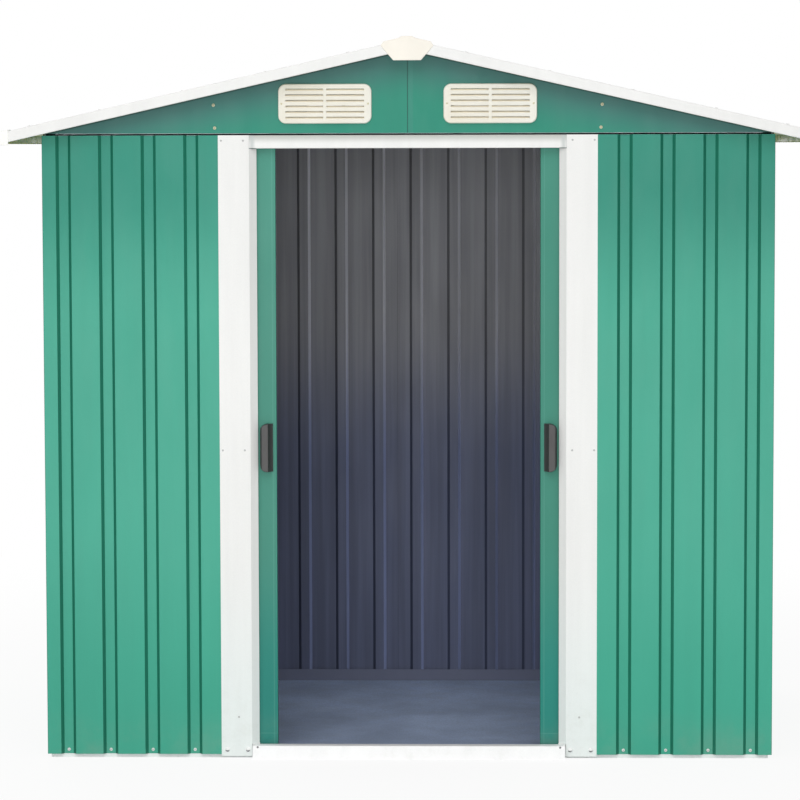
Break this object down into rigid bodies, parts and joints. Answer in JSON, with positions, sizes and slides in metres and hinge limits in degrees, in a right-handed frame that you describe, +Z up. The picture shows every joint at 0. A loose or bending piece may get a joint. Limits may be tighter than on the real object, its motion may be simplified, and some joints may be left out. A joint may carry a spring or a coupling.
{
  "type": "metal storage shed",
  "caption": "Small gabled storage shed of grooved sheet metal with two doors that slide behind the front wall, gable vents and a low floor threshold.",
  "frame": {"origin": "middle of the shed at the level that its base stands on", "axes": "+X to the right across the front, +Y from the front to the rear, +Z up"},
  "size_m": [2.072, 1.292, 1.85],
  "materials": {
    "green_sheet": "satin",
    "door_green": "satin",
    "roof_green": "satin",
    "white_trim": "satin",
    "galvanised": "satin",
    "floor_grey": "matte",
    "cream_plastic": "matte",
    "roller_white": "matte",
    "handle_dark": "satin"
  },
  "bodies": {
    "shed": {"base_rails": "white_trim", "floor_track": "galvanised", "threshold": "white_trim", "floor": "floor_grey", "front_wall_left": "green_sheet", "front_wall_right": "green_sheet", "left_wall": "green_sheet", "right_wall": "green_sheet", "rear_wall_left": "green_sheet", "rear_wall_right": "green_sheet", "left_jamb": "white_trim", "right_jamb": "white_trim", "head_rail": "white_trim", "door_top_track": "galvanised", "top_channels": "galvanised", "wall_braces": "galvanised", "front_gable_left": "green_sheet", "front_gable_right": "green_sheet", "rear_gable_left": "green_sheet", "rear_gable_right": "green_sheet", "roof_beams": "galvanised", "ridge_beam": "galvanised", "roof_left_front": "roof_green", "roof_left_rear": "roof_green", "roof_right_front": "roof_green", "roof_right_rear": "roof_green", "ridge_cap": "white_trim", "front_roof_trims": "white_trim", "rear_roof_trims": "white_trim", "eave_trims": "white_trim", "peak_caps": "cream_plastic", "corner_caps": "cream_plastic", "front_vents": "cream_plastic", "rear_vents": "cream_plastic"},
    "left_door": {"left_door_panel": "door_green", "left_door_rails": "galvanised", "left_door_rollers": "roller_white", "left_door_guides": "roller_white", "left_door_handle": "handle_dark"},
    "right_door": {"right_door_panel": "door_green", "right_door_rails": "galvanised", "right_door_rollers": "roller_white", "right_door_guides": "roller_white", "right_door_handle": "handle_dark"}
  },
  "joints": [
    {"name": "left_door_slide", "type": "slide", "parent": "shed", "child": "left_door", "axis": [1, 0, 0], "range_m": [0, 0.335]},
    {"name": "right_door_slide", "type": "slide", "parent": "shed", "child": "right_door", "axis": [-1, 0, 0], "range_m": [0, 0.335]}
  ]
}
